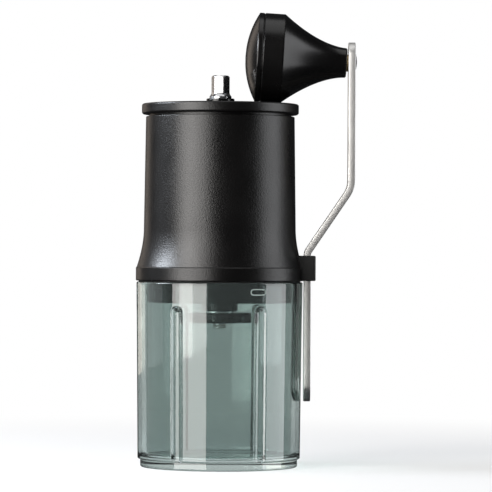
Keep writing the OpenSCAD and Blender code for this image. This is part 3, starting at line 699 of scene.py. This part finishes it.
def make_crank():
    """A bent strip with round ends, broken edges and a hexagonal hole, laid out flat and then bent."""
    half_w, half_t, e = 7.0, 1.5, 0.32
    z_low, z_high, z_bend, rise, off, r1, r2 = 28.5, 184.6027, 93.2, 28.0, 18.9, 4.5, 12.0
    flat = 3.6           # from the hexagonal hole's centre to a flat
    dog = math.atan(off / rise)
    cut1, cut2 = r1 * math.tan(dog / 2), r2 * math.tan(dog / 2)
    bend1, bend2 = r1 * dog, r2 * dog
    run1 = z_bend - cut1 - z_low
    run2 = math.hypot(off, rise) - cut1 - cut2
    run3 = z_high - (z_bend + rise) - cut2
    length = run1 + bend1 + run2 + bend2 + run3
    c1 = (CLIP_X + r1, z_bend - cut1)
    c2 = (CLIP_X + off - r2, z_bend + rise + cut2)

    def bent(s, y, n):
        """A point at a length along the strip, across it, and out of its middle plane towards +X."""
        if s < run1:
            x, z, a = CLIP_X, z_low + s, 0.0
        elif s < run1 + bend1:
            a = (s - run1) / r1
            x, z = c1[0] - r1 * math.cos(a), c1[1] + r1 * math.sin(a)
        elif s < run1 + bend1 + run2:
            a, d = dog, s - run1 - bend1
            x = c1[0] - r1 * math.cos(a) + d * math.sin(a)
            z = c1[1] + r1 * math.sin(a) + d * math.cos(a)
        elif s < run1 + bend1 + run2 + bend2:
            a = dog - (s - run1 - bend1 - run2) / r2
            x, z = c2[0] + r2 * math.cos(a), c2[1] - r2 * math.sin(a)
        else:
            a = 0.0
            x, z = CLIP_X + off, z_high - (length - s)
        return Vector((x + n * math.cos(a), y, z - n * math.sin(a))) * MM

    # Columns along the strip: angles round its two ends, and lengths between them.
    rest = e + 0.18      # where the flat faces begin, inside the broken edge
    inner = half_w - rest
    corner = flat / math.cos(math.radians(30))
    phis = {math.radians(k * 6) for k in range(1, 15)}
    phis |= {math.acos(corner / inner), math.acos(corner / 2 / inner)}
    ends = sorted(p for p in phis if 0 < p < math.pi / 2)
    spans = [half_w, half_w + corner / 2, half_w + corner]
    spans += [half_w + 8 + k * 8 for k in range(int((run1 - half_w - 16) / 8) + 1)]
    spans += [run1 + bend1 * k / 8 for k in range(9)]
    start = run1 + bend1
    spans += [start + run2 * k / 4 for k in range(1, 4)]
    start += run2
    spans += [start + bend2 * k / 12 for k in range(13)]
    start += bend2
    spans += [start + (length - half_w - start) * k / 7 for k in range(1, 8)]
    column = [("low", 0.0)] + [("low", p) for p in ends] + [("mid", v) for v in spans]
    column += [("high", p) for p in reversed(ends)] + [("high", 0.0)]
    last = len(column) - 1

    def at(k, inset):
        """Length along the strip and distance from its middle line of column k, drawn in by an inset."""
        kind, v = column[k]
        w = half_w - inset
        if kind == "low":
            return half_w - w * math.cos(v), w * math.sin(v)
        if kind == "high":
            return length - half_w + w * math.cos(v), w * math.sin(v)
        return v, w

    def hole(s):
        """Half the hole's width at a length along the strip, or None beyond it."""
        d = abs(s - half_w)
        if d > corner + 1e-6:
            return None
        return min(flat, flat * (corner - d) / (corner / 2))

    # The edge all round, with both its corners broken.
    order = [(k, 1) for k in range(last + 1)] + [(k, -1) for k in range(last - 1, 0, -1)]
    levels = [(rest, -half_t)] + [(e * left, -half_t + e * gone) for left, gone in quarter(3)]
    levels += [(inset, -n) for inset, n in reversed(levels)]
    bm = bmesh.new()
    rings = []
    for inset, n in levels:
        ring = []
        for k, side in order:
            s, y = at(k, inset)
            ring.append(bm.verts.new(bent(s, y * side, n)))
        rings.append(ring)
    for low, high in zip(rings, rings[1:]):
        band(bm, low, high)

    # The two flat faces, out from the middle line or from the hole.
    walls = {}
    for ring, n in ((rings[0], -half_t), (rings[-1], half_t)):
        right = {k: ring[i] for i, (k, side) in enumerate(order) if side > 0}
        left = {k: ring[i] for i, (k, side) in enumerate(order) if side < 0}
        left[0], left[last] = right[0], right[last]
        mid = {}
        for k in range(1, last):
            s, _ = at(k, rest)
            y = hole(s)
            if y is None or y < 1e-4:
                v = bm.verts.new(bent(s, 0, n))
                mid[k] = (v, v)
            else:
                mid[k] = (bm.verts.new(bent(s, y, n)), bm.verts.new(bent(s, -y, n)))
        mid[0] = (right[0], right[0])
        mid[last] = (right[last], right[last])
        for k in range(last):
            for side, edge in ((0, right), (1, left)):
                quad = []
                for v in (edge[k], edge[k + 1], mid[k + 1][side], mid[k][side]):
                    if v not in quad:
                        quad.append(v)
                if len(quad) > 2:
                    bm.faces.new(quad)
        walls[n] = mid

    # The hole's own walls.
    back, front = walls[-half_t], walls[half_t]
    for k in range(1, last - 1):
        middle = (at(k, rest)[0] + at(k + 1, rest)[0]) / 2
        if hole(middle):
            for side in (0, 1):
                bm.faces.new((back[k][side], back[k + 1][side], front[k + 1][side], front[k][side]))
    piece("bent_crank", bm, "crank", "crank_arm", "strip", sharp=30)


make_crank()


# ---------------------------------------------------------------- knob

X_AXLE, Z_AXLE, LEAN = 55.8, 175.6027, 3.5
AXLE = Matrix.Translation((X_AXLE * MM, 0, Z_AXLE * MM)) @ Matrix.Rotation(math.radians(LEAN - 90), 4, "Y")
CAP_AT = 40.25           # where the domed cap starts along the axle


def make_knob():
    bore, neck, r, u0, u1, groove = 3.05, 6.4, 19.35, 1.05, 28.85, 37.75
    socket_r, socket_foot = 15.0, 33.45
    line = [(bore, u0), (neck, u0, 0.7)]
    line += [(neck + (r - neck) * (k / 40) ** 1.74, u0 + (u1 - u0) * k / 40) for k in range(3, 40)]
    line += [(r, u1, 1.2), (r, groove - 0.4, 0.25), (r - 0.4, groove, 0.12), (r, groove + 0.4, 0.25),
             (r, CAP_AT, 0.6), (socket_r, CAP_AT), (socket_r, socket_foot), (bore, socket_foot)]
    lathe("knob_body", line, "knob", "knob", "knob", place=AXLE)


def make_knob_end():
    """The cap: a shallow dome with a ring on its back that plugs the knob's socket."""
    rim, dome, plug_in, plug_out, plug_foot = 18.75, 4.9, 12.98, 14.98, CAP_AT - 3.4
    ball = (rim * rim + dome * dome) / (2 * dome)
    line = [(0, CAP_AT + 2), (plug_in, CAP_AT + 2), (plug_in, plug_foot), (plug_out, plug_foot),
            (plug_out, CAP_AT), (rim, CAP_AT, 0.3)]
    line += [(math.sqrt(max(0, ball ** 2 - (ball - dome + dome * k / 24) ** 2)), CAP_AT + dome * k / 24)
             for k in range(1, 24)]
    line += [(0, CAP_AT + dome)]
    lathe("knob_end", line, "knob", "knob_cap", "knob", closed=False, place=AXLE)


def make_axle():
    """The axle with a domed rivet head outside the strip."""
    turns = [math.radians(8 * k) for k in range(9)]
    line = [(3.9 * math.sin(t), -3.4 + 1.05 * (1 - math.cos(t))) for t in turns]
    line += [(4.15, -2.8, 0.25), (4.15, -2.4), (2.5, -2.4), (2.5, 0), (3.0, 0), (3.0, 33.5), (2.6, 33.5),
             (2.6, 34.3), (3.0, 34.3), (3.0, 36.05, 0.5), (0, 36.05)]
    lathe("riveted_axle", line, "crank", "knob_axle", "steel", 96, closed=False, place=AXLE)


make_knob()
make_knob_end()
make_axle()


# ---------------------------------------------------------------- stage and light

STAGE_R = 3200           # millimetres
DOME_DROP = 20           # how far the dome's rim lies under the floor


def stage_mesh(name, line, segments, material):
    """A surface of revolution, seen directly and through the jar but not mirrored in the black plastic."""
    bm = bmesh.new()
    loft(bm, even(segments), line, False)
    ob = add_mesh(name, bm, material)
    ob.visible_glossy = False
    ob.visible_diffuse = False
    ob.visible_shadow = False


def paper_floor():
    """Pale paper that fades to plain white away from the grinder."""
    m, nt, b, out = new_mat("paper_floor")
    v = tex_coord(nt)
    nt.links.new(ramp(nt, noise(nt, v, PAPER, 3), (0.86, 0.86, 0.86), (0.9, 0.9, 0.9)), b.inputs["Base Color"])
    b.inputs["Roughness"].default_value = 0.9
    b.inputs["Specular IOR Level"].default_value = 0.1
    away = nt.nodes.new("ShaderNodeVectorMath")
    away.operation = "LENGTH"
    nt.links.new(v, away.inputs[0])
    fade = nt.nodes.new("ShaderNodeMapRange")
    fade.interpolation_type = "SMOOTHSTEP"
    fade.inputs["From Min"].default_value = 0.12
    fade.inputs["From Max"].default_value = 0.45
    fade.inputs["To Min"].default_value = 0.4
    nt.links.new(away.outputs["Value"], fade.inputs["Value"])
    mix_shaders(nt, fade.outputs["Result"], b, nt.nodes.new("ShaderNodeEmission"), out)
    return m


def white_dome():
    m, nt, out = blank_mat("white_dome")
    em = nt.nodes.new("ShaderNodeEmission")
    em.inputs["Color"].default_value = (1, 1, 1, 1)
    em.inputs["Strength"].default_value = 1.0
    nt.links.new(em.outputs[0], out.inputs["Surface"])
    return m


def make_stage():
    """Pale paper floor inside a plain white studio dome."""
    stage_mesh("floor", [(0, 0), (250, 0), (600, 0), (1500, 0), (STAGE_R, 0)], 96, paper_floor())
    line = [(STAGE_R * math.cos(t), STAGE_R * math.sin(t) - DOME_DROP)
            for t in (math.radians(a) for a in range(0, 90, 6))]
    stage_mesh("studio_dome", line + [(0, STAGE_R - DOME_DROP)], 64, white_dome())


WHITE, WARM, PALE_WARM = (1, 1, 1), (1.0, 0.975, 0.95), (1.0, 0.985, 0.97)
COOL, COOLER, SKY, LAMP = (0.97, 0.98, 1.0), (0.95, 0.97, 1.0), (0.86, 0.92, 1.0), (1.0, 0.86, 0.74)

# Soft boxes: azimuth (0 is on the camera's side, positive angles are to the right), distance, height,
# width, length, power, colour, and the height on the Z axis that it is turned to.
LIGHTS = {
    "key": (-42, 0.95, 0.42, 0.88, 1.1, 13.5, WARM, 0.42),
    "key_core": (-46, 0.93, 0.50, 0.32, 1.0, 2.7, WARM, 0.5),
    "key_high": (-50, 0.90, 0.50, 0.35, 0.30, 0.8, PALE_WARM, 0.1),
    "side_right": (85, 0.9, 0.38, 0.60, 1.0, 4.9, COOL, 0.38),
    "side_left": (-100, 0.9, 0.40, 0.5, 0.8, 0.45, COOLER, 0.4),
    "sky_left": (-90, 0.9, 0.56, 0.50, 0.24, 10.0, SKY, 0.1),
    "rim_left": (-145, 0.9, 0.40, 0.3, 0.8, 0.5, LAMP, 0.4),
    "overhead": (0, 0.02, 1.3, 1.0, 1.0, 3, WHITE, 0),
}


def add_light(name, azimuth, distance, height, width, length, power, colour, aim):
    light = bpy.data.lights.new(name, "AREA")
    light.shape = "RECTANGLE"
    light.size = width
    light.size_y = length
    light.energy = power
    light.color = colour
    ob = new_object(name, light)
    a = math.radians(azimuth)
    ob.location = (distance * math.sin(a), -distance * math.cos(a), height)
    way = Vector((0, 0, aim)) - ob.location
    ob.rotation_euler = way.to_track_quat("-Z", "Y").to_euler()


make_stage()
for name, settings in LIGHTS.items():
    add_light(name, *settings)

world = bpy.data.worlds.new("World")
bpy.context.scene.world = world
world.use_nodes = True
sky = world.node_tree.nodes["Background"]
sky.inputs["Color"].default_value = (0.9, 0.93, 1.0, 1)
sky.inputs["Strength"].default_value = 0.03
bpy.context.scene.view_settings.view_transform = "Standard"
